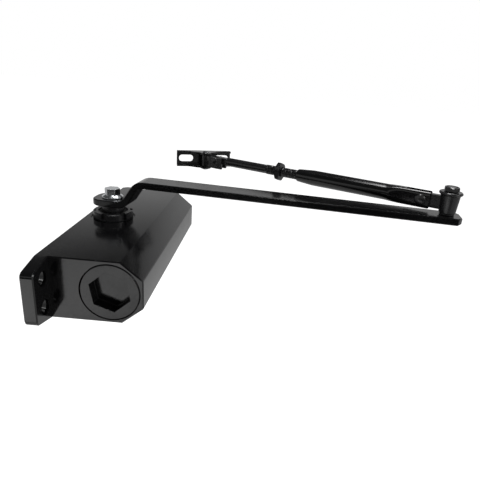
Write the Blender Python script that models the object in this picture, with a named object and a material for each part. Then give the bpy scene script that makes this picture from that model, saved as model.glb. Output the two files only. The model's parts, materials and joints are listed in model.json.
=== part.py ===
"""Overhead door closer with a folding two-part arm, in metres.

Frame: the origin is the middle of the face that lies on the door, +Y points into the door,
-Y out into the room, +X along the body towards the regulating screws, +Z up the pinion.
Every moving group hangs from an empty on its joint's axis.
"""

import math

import bmesh
import bpy
from mathutils import Matrix, Vector

# ---------------------------------------------------------------- driving dimensions

CLEARANCE = 0.0003          # gap between pieces that rest on or sit in each other
RUNNING = 0.0002            # radial gap of a turning or sliding fit

BODY_LENGTH = 0.165
FRONT_WALL = 0.0035         # cylinder to the front face, top and underside
CHAMFER_OUT = 0.014         # long front chamfers, measured out from the door
CHAMFER_UP = 0.0115         # the same chamfers, measured along the height
EDGE_ROUND = 0.0007

PLATE_THICKNESS = 0.0082
EAR_LENGTH = 0.0183
EAR_TAPER = 0.0032          # how much the ear's edges come in at its tip
EAR_CORNER = 0.0040
SCREW_PITCH = 0.019         # between the two screws of one ear
SCREW_OFFSET = 0.0075       # from the end of the body to the screws
SCREW_HOLE_RADIUS = 0.0031
SCREW_SINK_WALL = 0.0017    # wider by this at the countersink's mouth
SCREW_SINK_DEPTH = 0.0020   # straight part of the countersink

BORE_RADIUS = 0.0175
PINION_DEPTH = 0.020        # pinion axis, out from the door
RACK_INSET = 0.002125       # pitch line of the rack, inside the cylinder's wall

PLUG_THREAD_WALL = 0.0007   # thread outside the cylinder's radius
PLUG_FLANGE_WALL = 0.0014   # flange outside the cylinder's radius
PLUG_FLANGE = 0.0020
PLUG_LENGTH = 0.0130
PLUG_CHAMFER = 0.0006
SOCKET_FLATS = 0.0234
SOCKET_DEPTH = 0.0076
SOCKET_TURN = math.radians(19.5)
ORING_WIRE = 0.0009
ORING_FROM_FACE = 0.0098    # plug face to the middle of the ring

GEAR_MODULE = 0.00175
GEAR_TEETH = 11
PRESSURE_ANGLE = math.radians(25)
ADDENDUM_RATIO = 0.914      # of the module
DEDENDUM_RATIO = 1.140
TOOTH_PLAY = 0.00030        # taken off each tooth at the pitch line
GEAR_HEIGHT = 0.015
GEAR_ROOM = 0.0009          # round the tips of the gear

UPPER_JOURNAL_RADIUS = 0.0080
LOWER_JOURNAL_RADIUS = 0.0060
SPINDLE_SQUARE = 0.0110
BEARING_WALL = 0.0026
BEARING_LIP = 0.0008        # lip between the upper bearing and the seal
NUT_WALL = 0.0020           # bearing to the nut's thread
NUT_FLANGE = 0.0020         # thread to the nut's rim
NUT_RECESS = 0.0017         # rim to the edge of the shallow recess
NUT_RECESS_DEPTH = 0.0008
NUT_FLOOR = 0.0005          # housing left between the nut and the cylinder
BEARING_NUT_RISE = 0.0053   # above the body
BEARING_NUT_NOTCHES = 6
NOTCH_TURN = math.radians(50)       # heading of the first notch
NOTCH_WIDTH = 0.0040
NOTCH_DEPTH = 0.0022
NOTCH_FLOOR = 0.0010        # above the body
DUST_CAP_THICKNESS = 0.0032
GEAR_SEAT = 0.0017          # gear to the lower bearing

ARM_SWING = math.radians(180)
PISTON_WALL = 0.0105        # solid head at each end of the piston
SEAL_WIDTH = 0.0024
SEAL_DEPTH = 0.0015
SEAL_FROM_END = 0.0030
SPRING_POCKET = 0.0050
SPRING_POCKET_WALL = 0.0017
SPRING_WIRE = 0.0040
SPRING_TURNS = 5
SEAT_THICKNESS = 0.0020
CHECK_BALL_RADIUS = 0.0023

VALVE_FROM_DOOR = 0.017
VALVE_SPACING = 0.018
VALVE_RADIUS = 0.0030
VALVE_REACH = 0.0024        # past the inner face of the plug
VALVE_HEAD_RADIUS = 0.0043
VALVE_HEAD = 0.0030
VALVE_SLOT = 0.0010
OIL_PORT_RADIUS = 0.0012

ARM_LENGTH = 0.2403         # pinion axis to elbow axis
ARM_HEADING = math.radians(-96.3)
ARM_WIDTH = 0.018
ARM_THICKNESS = 0.0049
ARM_RISE = 0.0162           # step up from the eye to the straight
ARM_RUN = 0.0107            # length of the step along the arm
ARM_BEND_START = 0.0118     # from the pinion axis
LOWER_BEND_RADIUS = 0.0030  # inside of the bend at the eye
UPPER_BEND_RADIUS = 0.0065  # inside of the bend at the straight
ARM_TIP = 0.0098            # past the elbow axis
ARM_EDGE = 0.0006
EYE_WIDTH = 0.0215
EYE_CORNER = 0.0080          # radius of the eye's corners
EYE_BACK = 0.0133           # past the pinion axis
SHOULDER_HEIGHT = 0.0048    # bearing nut to the underside of the eye

BOLT_SHANK_RADIUS = 0.0029
BOLT_FLANGE_RADIUS = 0.0077
BOLT_FLANGE = 0.0024
BOLT_FLATS = 0.0100
BOLT_HEAD = 0.0044
BOLT_REACH = 0.0140
BOLT_TURN = math.radians(12)

ELBOW_FOLD = math.radians(19.4)     # between the two arms
STUD_RADIUS = 0.0034
STUD_HEAD_WALL = 0.0022
STUD_HEAD = 0.0015
SPACER_WALL = 0.0016
SPACER_THICKNESS = 0.0012
BOSS_TOP_WALL = 0.0031
BOSS_FOOT_WALL = 0.0022
BOSS_HEIGHT = 0.0120
ELBOW_DISC_WALL = 0.0044
ELBOW_DISC = 0.0020
ELBOW_NUT_WALL = 0.0013
ELBOW_NUT = 0.0030
NUT_TURN = math.radians(20)

TONGUE_THICKNESS = 0.0042
TONGUE_HEIGHT = 0.0094
RIVET_SETBACK = 0.0064      # clevis end to the tilt rivet
RIVET_RADIUS = 0.0024
RIVET_HEAD_WALL = 0.0014
RIVET_HEAD = 0.0011
CLEVIS_CHEEK = 0.0019       # each side of the tongue
CLEVIS_HEIGHT = 0.0118
CLEVIS_GAP = 0.0042         # elbow disc to the end of the clevis
CLEVIS_SLOT_LENGTH = 0.0170
CLEVIS_FLAT = 0.0185        # length of the flattened end
CLEVIS_BLEND = 0.0130       # from flat to round
TUBE_WALL = 0.0011
TUBE_NECK_WALL = 0.0007
TUBE_NECK_START = 0.0990    # from the elbow axis
TUBE_END = 0.1115

THREAD_RADIUS = 0.0039
THREAD_ROOM = 0.0008        # thread to the tube's inside
THREAD_RELIEF = 0.0004      # thread to the plain rod
THREAD_INNER_END = 0.0840
THREAD_OUTER_END = 0.1390
ROD_TONGUE_THICKNESS = 0.0040
ROD_TONGUE_HEIGHT = 0.0056
LOCK_NUT_PLACE = 0.1255
LOCK_NUT_THICKNESS = 0.0040
LOCK_NUT_FLATS = 0.0130

FOREARM_LENGTH = 0.198      # elbow axis to the bracket's pin
KNUCKLE_REACH = 0.0123      # small rivet to the bracket's pin
KNUCKLE_DROP = 0.0021       # middle of the bracket below the rod's axis
KNUCKLE_TAIL = 0.0062       # past the small rivet
KNUCKLE_CHEEK = 0.0022      # each side of the rod's tongue
KNUCKLE_WEB = 0.0062
KNUCKLE_ROOM = 0.0018       # rod's tongue to the bottom of the knuckle's slot
ROD_GAP = 0.0040            # knuckle's end to the round of the rod
SWIVEL_RIVET_RADIUS = 0.0016
SWIVEL_RIVET_HEAD_WALL = 0.0010
SWIVEL_RIVET_HEAD = 0.0009

BRACKET_HEADING = math.radians(-70)  # along the bracket, at rest
BRACKET_LENGTH = 0.0466
BRACKET_HEIGHT = 0.0132
BRACKET_SHEET = 0.0016
BRACKET_STANDOFF = 0.0090   # pin axis to the back face
FLANGE_DEPTH = 0.0038
FLANGE_NOSE_WALL = 0.0028
FLANGE_SWELL = 0.0150       # half length of the swelling round the pin
SLOT_LENGTH = 0.0122
SLOT_WIDTH = 0.0058
SLOT_CENTRE = 0.0154
PIN_RADIUS = 0.0020
BARREL_WALL = 0.0012
PIN_HEAD_WALL = 0.0009
PIN_HEAD = 0.0012

BORE_STEPS = 48             # sides of the cylinder and all that fits it
ROUND_STEPS = 40            # sides of a large round
SMALL_STEPS = 20            # sides of a small one

# ---------------------------------------------------------------- sizes that follow

PITCH_RADIUS = GEAR_MODULE * GEAR_TEETH / 2
ADDENDUM = ADDENDUM_RATIO * GEAR_MODULE
DEDENDUM = DEDENDUM_RATIO * GEAR_MODULE
RACK_PITCH_LINE = BORE_RADIUS - RACK_INSET
BORE_DEPTH = PINION_DEPTH + PITCH_RADIUS + RACK_PITCH_LINE
BODY_DEPTH = BORE_DEPTH + BORE_RADIUS + FRONT_WALL
HALF_HEIGHT = BORE_RADIUS + FRONT_WALL
HALF_LENGTH = BODY_LENGTH / 2
PISTON_RADIUS = BORE_RADIUS - RUNNING
PISTON_STROKE = PITCH_RADIUS * ARM_SWING
SPRING_RADIUS = PISTON_RADIUS - SPRING_POCKET_WALL - CLEARANCE - SPRING_WIRE / 2
PLUG_THREAD_RADIUS = BORE_RADIUS + PLUG_THREAD_WALL
PLUG_FLANGE_RADIUS = BORE_RADIUS + PLUG_FLANGE_WALL
PLUG_INNER = HALF_LENGTH - PLUG_LENGTH
VALVE_LENGTH = PLUG_LENGTH + VALVE_REACH
BEARING_RADIUS = UPPER_JOURNAL_RADIUS + BEARING_WALL
NUT_THREAD_RADIUS = BEARING_RADIUS + NUT_WALL
NUT_RADIUS = NUT_THREAD_RADIUS + NUT_FLANGE
NUT_RECESS_RADIUS = NUT_RADIUS + NUT_RECESS
NUT_EDGE_FROM_BORE = BORE_DEPTH - PINION_DEPTH - NUT_THREAD_RADIUS - CLEARANCE
NUT_BOTTOM = math.sqrt(BORE_RADIUS ** 2 - NUT_EDGE_FROM_BORE ** 2) + NUT_FLOOR
NUT_TOP = HALF_HEIGHT + BEARING_NUT_RISE
LOWER_BEARING_TOP = -GEAR_HEIGHT / 2 - GEAR_SEAT
DUST_CAP_BOTTOM = -HALF_HEIGHT + CLEARANCE
DUST_CAP_TOP = DUST_CAP_BOTTOM + DUST_CAP_THICKNESS
LOWER_BEARING_BOTTOM = DUST_CAP_TOP + CLEARANCE
EYE_BOTTOM = NUT_TOP + SHOULDER_HEIGHT
EYE_TOP = EYE_BOTTOM + ARM_THICKNESS
ARM_TOP = EYE_TOP + ARM_RISE
ARM_UNDERSIDE = ARM_TOP - ARM_THICKNESS
SPACER_BOTTOM = ARM_TOP + CLEARANCE
BOSS_BOTTOM = SPACER_BOTTOM + SPACER_THICKNESS + CLEARANCE
BOSS_TOP = BOSS_BOTTOM + BOSS_HEIGHT
FOREARM_LEVEL = (BOSS_BOTTOM + BOSS_TOP) / 2
ELBOW_DISC_BOTTOM = BOSS_TOP + CLEARANCE
ELBOW_NUT_BOTTOM = ELBOW_DISC_BOTTOM + ELBOW_DISC + CLEARANCE
STUD_HOLE_RADIUS = STUD_RADIUS + CLEARANCE
STUD_HEAD_RADIUS = STUD_RADIUS + STUD_HEAD_WALL
BOSS_BORE_RADIUS = STUD_RADIUS + RUNNING
BOSS_FOOT_RADIUS = STUD_RADIUS + BOSS_FOOT_WALL
ELBOW_DISC_RADIUS = STUD_RADIUS + ELBOW_DISC_WALL
ELBOW_NUT_FLATS = 2 * (STUD_RADIUS + ELBOW_NUT_WALL)
CLEVIS_START = ELBOW_DISC_RADIUS + CLEVIS_GAP
RIVET_REACH = CLEVIS_START + RIVET_SETBACK
CLEVIS_WIDTH = TONGUE_THICKNESS + 2 * (CLEARANCE + CLEVIS_CHEEK)
CLEVIS_END = CLEVIS_START + CLEVIS_FLAT
TUBE_ROUND_START = CLEVIS_END + CLEVIS_BLEND
THREAD_HOLE_RADIUS = THREAD_RADIUS + RUNNING
TUBE_BORE = THREAD_RADIUS + THREAD_ROOM
TUBE_RADIUS = TUBE_BORE + TUBE_WALL
TUBE_NECK_RADIUS = THREAD_HOLE_RADIUS + TUBE_NECK_WALL
ROD_RADIUS = THREAD_RADIUS - THREAD_RELIEF
KNUCKLE_LENGTH = KNUCKLE_REACH + KNUCKLE_TAIL
KNUCKLE_WIDTH = ROD_TONGUE_THICKNESS + 2 * (CLEARANCE + KNUCKLE_CHEEK)
PIN_BORE_RADIUS = PIN_RADIUS + RUNNING
BARREL_RADIUS = PIN_RADIUS + BARREL_WALL
FLANGE_NOSE_RADIUS = PIN_RADIUS + FLANGE_NOSE_WALL

# ---------------------------------------------------------------- modelling helpers

FINISHES = {
    "black_casting": ((0.012, 0.012, 0.013), 0.18, 0.0),
    "black_paint": ((0.012, 0.012, 0.013), 0.18, 0.0),
    "black_steel": ((0.020, 0.020, 0.021), 0.32, 0.9),
    "chrome": ((0.80, 0.80, 0.82), 0.12, 1.0),
    "bright_steel": ((0.55, 0.55, 0.56), 0.28, 1.0),
    "spring_steel": ((0.28, 0.28, 0.30), 0.38, 1.0),
    "cast_iron": ((0.20, 0.20, 0.21), 0.50, 0.9),
    "bronze": ((0.52, 0.33, 0.14), 0.35, 1.0),
    "rubber": ((0.010, 0.010, 0.010), 0.75, 0.0),
    "nylon": ((0.03, 0.03, 0.03), 0.45, 0.0),
}


def clear_scene():
    for existing in list(bpy.data.objects):
        bpy.data.objects.remove(existing, do_unlink=True)


def add_empty(name, place, turn=0.0, parent=None):
    empty = bpy.data.objects.new(name, None)
    bpy.context.scene.collection.objects.link(empty)
    empty.parent = parent
    empty.location = place
    empty.rotation_euler = (0.0, 0.0, turn)
    return empty


def add_object(name, bm, parent=None, place=(0, 0, 0)):
    bmesh.ops.recalc_face_normals(bm, faces=bm.faces)
    mesh = bpy.data.meshes.new(name)
    bm.to_mesh(mesh)
    bm.free()
    mesh.shade_smooth()
    mesh.set_sharp_from_angle(angle=math.radians(32))
    made = bpy.data.objects.new(name, mesh)
    bpy.context.scene.collection.objects.link(made)
    made.parent = parent
    made.location = place
    return made


def paint(piece, finish):
    colour, roughness, metallic = FINISHES[finish]
    material = bpy.data.materials.new(piece.name + "_" + finish)
    material.use_nodes = True
    shader = material.node_tree.nodes["Principled BSDF"]
    shader.inputs["Base Color"].default_value = (*colour, 1.0)
    shader.inputs["Roughness"].default_value = roughness
    shader.inputs["Metallic"].default_value = metallic
    piece.data.materials.append(material)
    return piece


def combine(piece, other, operation):
    """Cut by, join with or trim to another shape, which stays as a hidden guide."""
    other.hide_render = True
    other.display_type = "WIRE"
    boolean = piece.modifiers.new(operation.lower() + "_" + other.name, "BOOLEAN")
    boolean.operation = operation
    boolean.solver = "EXACT"
    boolean.object = other
    return piece


def soften(piece, width, segments=1, angle=40):
    bevel = piece.modifiers.new("edge_round", "BEVEL")
    bevel.width = width
    bevel.segments = segments
    bevel.limit_method = "ANGLE"
    bevel.angle_limit = math.radians(angle)
    return piece


TO_X = Matrix(((0, 0, 1), (1, 0, 0), (0, 1, 0))).to_4x4()    # local Z becomes X
TO_Y = Matrix(((1, 0, 0), (0, 0, 1), (0, 1, 0))).to_4x4()    # local Y and Z change places


def prism(outline, low, high, stand=Matrix.Identity(4)):
    """A flat outline drawn out from low to high."""
    bm = bmesh.new()
    corners = [bm.verts.new((a, b, low)) for a, b in outline]
    face = bm.faces.new(corners)
    drawn = bmesh.ops.extrude_face_region(bm, geom=[face])
    moved = [item for item in drawn["geom"] if isinstance(item, bmesh.types.BMVert)]
    bmesh.ops.translate(bm, verts=moved, vec=(0, 0, high - low))
    bmesh.ops.transform(bm, matrix=stand, verts=bm.verts)
    return bm


def turned(profile, steps=ROUND_STEPS, stand=Matrix.Identity(4)):
    """A closed half outline of (radius, height) points spun round the Z axis."""
    bm = bmesh.new()
    points = [bm.verts.new((radius, 0, height)) for radius, height in profile]
    closed = list(zip(points, points[1:] + points[:1]))
    edges = [bm.edges.new(pair) for pair in closed if not on_axis(pair)]
    bmesh.ops.spin(bm, geom=points + edges, cent=(0, 0, 0), axis=(0, 0, 1),
                   angle=math.tau, steps=steps, use_duplicate=False)
    bmesh.ops.remove_doubles(bm, verts=bm.verts, dist=1e-6)
    bmesh.ops.transform(bm, matrix=stand, verts=bm.verts)
    return bm


def on_axis(pair):
    return all(abs(point.co.x) < 1e-7 for point in pair)


def arc(centre, radius, start, end, steps):
    """Points on an arc, both ends included."""
    angles = [start + (end - start) * step / steps for step in range(steps + 1)]
    return [(centre[0] + radius * math.cos(a), centre[1] + radius * math.sin(a)) for a in angles]


def rod_profile(radius, low, high):
    return [(0, low), (radius, low), (radius, high), (0, high)]


def ring_profile(inner, outer, low, high):
    return [(inner, low), (outer, low), (outer, high), (inner, high)]


def hexagon(flats, turn=0.0):
    return arc((0, 0), flats / math.sqrt(3), turn, turn + math.tau * 5 / 6, 5)


def box_outline(low_a, high_a, low_b, high_b):
    return [(low_a, low_b), (high_a, low_b), (high_a, high_b), (low_a, high_b)]


def rounded_box(low_a, high_a, low_b, high_b, radius, steps=4):
    quarter = math.pi / 2
    corners = [(high_a - radius, high_b - radius, 0), (low_a + radius, high_b - radius, quarter),
               (low_a + radius, low_b + radius, 2 * quarter), (high_a - radius, low_b + radius, 3 * quarter)]
    outline = []
    for a, b, start in corners:
        outline += arc((a, b), radius, start, start + quarter, steps)
    return outline


def rivet_profile(radius, grip, head_wall, head):
    """Half outline of a rivet with a domed head at each end of its grip."""
    steps = 3
    quarters = [step / steps * math.pi / 2 for step in range(steps)]
    dome = [((radius + head_wall) * math.cos(turn), head * math.sin(turn)) for turn in quarters]
    top = [(r, grip + rise) for r, rise in dome] + [(0, grip + head)]
    bottom = [(r, -grip - rise) for r, rise in reversed(dome)]
    return [(0, -grip - head)] + bottom + [(radius, -grip), (radius, grip)] + top


# ---------------------------------------------------------------- housing

def ear_outline():
    """The back plate seen from the front: full height over the body, tapered ears."""
    tip = HALF_LENGTH + EAR_LENGTH
    low = HALF_HEIGHT - EAR_TAPER
    slope = math.atan2(EAR_TAPER, EAR_LENGTH)
    top_right = [(HALF_LENGTH, HALF_HEIGHT)]
    top_right += reversed(arc((tip - EAR_CORNER, low - EAR_CORNER), EAR_CORNER, 0,
                              math.pi / 2 - slope, 5))
    bottom_right = [(x, -z) for x, z in reversed(top_right)]
    left = [(-x, z) for x, z in reversed(top_right + bottom_right)]
    return top_right + bottom_right + left


def body_outline():
    """Section of the body across its length, as (out from the door, height)."""
    upper = [(-PLATE_THICKNESS / 2, HALF_HEIGHT), (-BODY_DEPTH + CHAMFER_OUT, HALF_HEIGHT),
             (-BODY_DEPTH, HALF_HEIGHT - CHAMFER_UP)]
    return upper + [(y, -z) for y, z in reversed(upper)]


def cylinder_cutter():
    """The stepped through bore: mouth, plug seat, cylinder, and the same again."""
    past_end = HALF_LENGTH + PLUG_FLANGE
    mouth = PLUG_FLANGE_RADIUS + CLEARANCE
    seat = PLUG_THREAD_RADIUS + CLEARANCE
    half = [(mouth, past_end), (mouth, HALF_LENGTH - PLUG_FLANGE - CLEARANCE),
            (seat, HALF_LENGTH - PLUG_FLANGE - CLEARANCE), (seat, PLUG_INNER - CLEARANCE),
            (BORE_RADIUS, PLUG_INNER - CLEARANCE)]
    mirrored = [(radius, -x) for radius, x in reversed(half)]
    return [(0, past_end)] + half + mirrored + [(0, -past_end)]


def pinion_cutter():
    """The stepped pinion well, open at the top and at the dust cap."""
    past_face = HALF_HEIGHT + NUT_RECESS_DEPTH
    recess = HALF_HEIGHT - NUT_RECESS_DEPTH
    thread = NUT_THREAD_RADIUS + CLEARANCE
    chamber = PITCH_RADIUS + ADDENDUM + GEAR_ROOM
    bearing = LOWER_JOURNAL_RADIUS + BEARING_WALL + CLEARANCE
    return [(0, past_face), (NUT_RECESS_RADIUS, past_face), (NUT_RECESS_RADIUS, recess),
            (thread, recess), (thread, NUT_BOTTOM - CLEARANCE), (chamber, NUT_BOTTOM - CLEARANCE),
            (chamber, LOWER_BEARING_TOP + CLEARANCE), (bearing, LOWER_BEARING_TOP + CLEARANCE),
            (bearing, -past_face), (0, -past_face)]


def valve_places():
    return [(-VALVE_FROM_DOOR, side * VALVE_SPACING / 2) for side in (1, -1)]


def make_housing():
    plate = add_object("housing", prism(ear_outline(), 0, -PLATE_THICKNESS, TO_Y))
    soften(plate, EDGE_ROUND)
    body = add_object("housing_body_shape", prism(body_outline(), -HALF_LENGTH, HALF_LENGTH, TO_X))
    soften(body, EDGE_ROUND)
    combine(plate, body, "UNION")
    bore = turned(cylinder_cutter(), BORE_STEPS, TO_X)
    combine(plate, add_object("cylinder_cutter", bore, place=(0, -BORE_DEPTH, 0)), "DIFFERENCE")
    well = add_object("pinion_cutter", turned(pinion_cutter()), place=(0, -PINION_DEPTH, 0))
    combine(plate, well, "DIFFERENCE")
    sink = SCREW_HOLE_RADIUS + SCREW_SINK_WALL
    past_plate = PLATE_THICKNESS + CLEARANCE
    screw = [(0, -CLEARANCE), (sink, -CLEARANCE), (sink, SCREW_SINK_DEPTH),
             (SCREW_HOLE_RADIUS, SCREW_SINK_DEPTH + SCREW_SINK_WALL),
             (SCREW_HOLE_RADIUS, past_plate), (0, past_plate)]
    for side_x in (-1, 1):
        for side_z in (-1, 1):
            place = (side_x * (HALF_LENGTH + SCREW_OFFSET), -PLATE_THICKNESS, side_z * SCREW_PITCH / 2)
            name = f"screw_cutter_{side_x}_{side_z}"
            combine(plate, add_object(name, turned(screw, SMALL_STEPS, TO_Y), place=place), "DIFFERENCE")
    inner = HALF_LENGTH - VALVE_LENGTH - CLEARANCE
    head = HALF_LENGTH - VALVE_HEAD
    past_end = HALF_LENGTH + CLEARANCE
    narrow = VALVE_RADIUS + CLEARANCE
    wide = VALVE_HEAD_RADIUS + CLEARANCE
    hole = [(0, inner), (narrow, inner), (narrow, head), (wide, head), (wide, past_end), (0, past_end)]
    port_x = PLUG_INNER - OIL_PORT_RADIUS - 2 * CLEARANCE
    for number, (y, z) in enumerate(valve_places()):
        drill = add_object(f"valve_cutter_{number}", turned(hole, SMALL_STEPS, TO_X), place=(0, y, z))
        combine(plate, drill, "DIFFERENCE")
        port = turned(rod_profile(OIL_PORT_RADIUS, y - BORE_RADIUS, y), 12, TO_Y)
        combine(plate, add_object(f"port_cutter_{number}", port, place=(port_x, 0, z)), "DIFFERENCE")
    paint(plate, "black_casting")


# ---------------------------------------------------------------- plugs, spring, piston

def make_plug(name, side):
    groove_low = ORING_FROM_FACE - ORING_WIRE - CLEARANCE
    groove_high = ORING_FROM_FACE + ORING_WIRE + CLEARANCE
    groove_radius = PLUG_THREAD_RADIUS - 2 * ORING_WIRE
    profile = [(0, 0), (PLUG_FLANGE_RADIUS - PLUG_CHAMFER, 0), (PLUG_FLANGE_RADIUS, -PLUG_CHAMFER),
               (PLUG_FLANGE_RADIUS, -PLUG_FLANGE), (PLUG_THREAD_RADIUS, -PLUG_FLANGE),
               (PLUG_THREAD_RADIUS, -groove_low), (groove_radius, -groove_low),
               (groove_radius, -groove_high), (PLUG_THREAD_RADIUS, -groove_high),
               (PLUG_THREAD_RADIUS, -PLUG_LENGTH), (0, -PLUG_LENGTH)]
    facing = Matrix.Rotation(0 if side > 0 else math.pi, 4, "Z")
    axis = add_empty(name + "_axis", (side * HALF_LENGTH, -BORE_DEPTH, 0))
    plug = add_object(name, turned(profile, BORE_STEPS, facing @ TO_X), axis)
    socket = prism(hexagon(SOCKET_FLATS, side * SOCKET_TURN), -SOCKET_DEPTH, PLUG_FLANGE, facing @ TO_X)
    combine(plug, add_object(name + "_socket_cutter", socket, axis), "DIFFERENCE")
    paint(plug, "black_paint")
    ring_radius = (groove_radius + PLUG_THREAD_RADIUS) / 2 + CLEARANCE / 2
    middle = -ORING_FROM_FACE
    ring = arc((ring_radius, middle), ORING_WIRE - CLEARANCE / 2, 0, math.tau * 5 / 6, 5)
    paint(add_object(name + "_oring", turned(ring, BORE_STEPS, facing @ TO_X), axis), "rubber")


def rack_outline(low, high):
    """Everything above the rack's teeth, from x low to x high, as (x, out of the piston)."""
    pitch = math.pi * GEAR_MODULE
    tip = RACK_PITCH_LINE + ADDENDUM
    root = RACK_PITCH_LINE - DEDENDUM
    lean = math.tan(PRESSURE_ANGLE)
    half_tooth = (pitch / 2 - TOOTH_PLAY) / 2
    half_tip = half_tooth - ADDENDUM * lean
    half_root = half_tooth + DEDENDUM * lean
    outline = [(low, tip)]
    for number in range(math.ceil(low / pitch), math.floor(high / pitch) + 1):
        middle = number * pitch
        tooth = [(middle - half_root, root), (middle - half_tip, tip),
                 (middle + half_tip, tip), (middle + half_root, root)]
        outline += [point for point in tooth if low < point[0] < high]
    above = PISTON_RADIUS + CLEARANCE
    outline += [(high, outline[-1][1]), (high, above), (low, above)]
    outline[0] = (low, outline[1][1])
    return outline


def make_piston():
    gear_reach = math.sqrt((PITCH_RADIUS + ADDENDUM) ** 2
                           - (BORE_DEPTH - PINION_DEPTH - PISTON_RADIUS) ** 2)
    rack_high = gear_reach + GEAR_ROOM + GEAR_ROOM
    rack_low = -PISTON_STROKE - rack_high
    high = rack_high + PISTON_WALL
    low = rack_low - PISTON_WALL
    axis = add_empty("piston_axis", (0, -BORE_DEPTH, 0))
    groove = PISTON_RADIUS - SEAL_DEPTH
    profile = [(0, low)]
    seals = [low + SEAL_FROM_END, rack_high + SEAL_FROM_END / 3]
    for start in seals:
        profile += [(PISTON_RADIUS, start), (groove, start), (groove, start + SEAL_WIDTH),
                    (PISTON_RADIUS, start + SEAL_WIDTH)]
    profile.insert(1, (PISTON_RADIUS, low))
    pocket = SPRING_RADIUS + SPRING_WIRE / 2 + CLEARANCE
    profile += [(PISTON_RADIUS, high), (pocket, high), (pocket, high - SPRING_POCKET),
                (0, high - SPRING_POCKET)]
    piston = add_object("piston", turned(profile, BORE_STEPS, TO_X), axis)
    rack = prism(rack_outline(rack_low, rack_high), -BORE_RADIUS, BORE_RADIUS)
    combine(piston, add_object("rack_cutter", rack, axis), "DIFFERENCE")
    valve = rod_profile(CHECK_BALL_RADIUS + CLEARANCE, low - CLEARANCE, low + PISTON_WALL)
    valve_place = (0, -PISTON_RADIUS / 2, 0)
    drill = add_object("check_valve_cutter", turned(valve, SMALL_STEPS, TO_X), axis, valve_place)
    combine(piston, drill, "DIFFERENCE")
    paint(piston, "cast_iron")
    for name, start in zip(("piston_seal_near", "piston_seal_far"), seals):
        seal = ring_profile(groove + CLEARANCE / 2, BORE_RADIUS - RUNNING / 2,
                            start + CLEARANCE / 2, start + SEAL_WIDTH - CLEARANCE / 2)
        paint(add_object(name, turned(seal, BORE_STEPS, TO_X), axis), "rubber")
    ball = bmesh.new()
    bmesh.ops.create_icosphere(ball, subdivisions=2, radius=CHECK_BALL_RADIUS)
    seat = (low + PISTON_WALL / 2, -PISTON_RADIUS / 2, 0)
    paint(add_object("check_ball", ball, axis, seat), "bright_steel")
    return high - SPRING_POCKET


def make_spring(start):
    """A round-wire coil from the piston's pocket to its seat on the far plug."""
    seat_face = PLUG_INNER - CLEARANCE - SEAT_THICKNESS
    wire = SPRING_WIRE / 2
    low = start + CLEARANCE + wire
    high = seat_face - CLEARANCE - wire
    sides = 7
    per_turn = 20
    steps = SPRING_TURNS * per_turn
    lead = (high - low) / math.tau / SPRING_TURNS
    climb = math.atan2(lead, SPRING_RADIUS)
    bm = bmesh.new()
    rings = []
    for step in range(steps + 1):
        turn = step / per_turn * math.tau
        radial = Vector((0, math.cos(turn), math.sin(turn)))
        along = Vector((0, -math.sin(turn), math.cos(turn))) * math.cos(climb)
        along.x = math.sin(climb)
        across = along.cross(radial)
        middle = radial * SPRING_RADIUS + Vector((low + lead * turn, 0, 0))
        ring = []
        for side in range(sides):
            round_turn = side / sides * math.tau
            offset = radial * math.cos(round_turn) + across * math.sin(round_turn)
            ring.append(bm.verts.new(middle + offset * wire))
        rings.append(ring)
    for first, second in zip(rings, rings[1:]):
        for side in range(sides):
            after = (side + 1) % sides
            bm.faces.new((first[side], first[after], second[after], second[side]))
    bm.faces.new(rings[0])
    bm.faces.new(rings[-1])
    axis = add_empty("spring_axis", (0, -BORE_DEPTH, 0))
    paint(add_object("spring", bm, axis), "spring_steel")
    seat = ring_profile(SPRING_RADIUS / 2, SPRING_RADIUS + wire, seat_face,
                        seat_face + SEAT_THICKNESS)
    paint(add_object("spring_seat", turned(seat, stand=TO_X), axis), "bright_steel")


def make_valve(name, place):
    """A slotted regulating screw in the end face."""
    high = HALF_LENGTH - CLEARANCE
    low = HALF_LENGTH - VALVE_LENGTH
    shoulder = HALF_LENGTH - VALVE_HEAD + CLEARANCE
    profile = [(0, low), (VALVE_RADIUS / 3, low), (VALVE_RADIUS, low + VALVE_RADIUS),
               (VALVE_RADIUS, shoulder), (VALVE_HEAD_RADIUS, shoulder), (VALVE_HEAD_RADIUS, high), (0, high)]
    axis = add_empty(name + "_axis", (0, *place))
    screw = add_object(name, turned(profile, SMALL_STEPS, TO_X), axis)
    half_slot = VALVE_SLOT / 2
    outline = box_outline(-VALVE_HEAD_RADIUS * 2, VALVE_HEAD_RADIUS * 2, -half_slot, half_slot)
    slot = prism(outline, high - VALVE_SLOT, high + VALVE_SLOT, TO_X)
    combine(screw, add_object(name + "_slot_cutter", slot, axis), "DIFFERENCE")
    paint(screw, "bright_steel")


# ---------------------------------------------------------------- pinion and its bearings

def involute(angle):
    return math.tan(angle) - angle


def gear_outline(phase):
    """Involute gear with radial roots; phase is where the middle of a tooth stands."""
    base = PITCH_RADIUS * math.cos(PRESSURE_ANGLE)
    outer = PITCH_RADIUS + ADDENDUM
    root = PITCH_RADIUS - DEDENDUM
    half_tooth = (math.pi * GEAR_MODULE / 2 - TOOTH_PLAY) / 2 / PITCH_RADIUS
    half_base = half_tooth + involute(PRESSURE_ANGLE)
    flank_steps = 6
    flank = [(root, half_base)]
    for step in range(flank_steps + 1):
        radius = base + (outer - base) * step / flank_steps
        flank.append((radius, half_base - involute(math.acos(base / radius))))
    outline = []
    for tooth in range(GEAR_TEETH):
        middle = phase + tooth * math.tau / GEAR_TEETH
        sides = [(r, middle - a) for r, a in flank] + [(r, middle + a) for r, a in reversed(flank)]
        outline += [(r * math.cos(a), r * math.sin(a)) for r, a in sides]
    return outline


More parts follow.
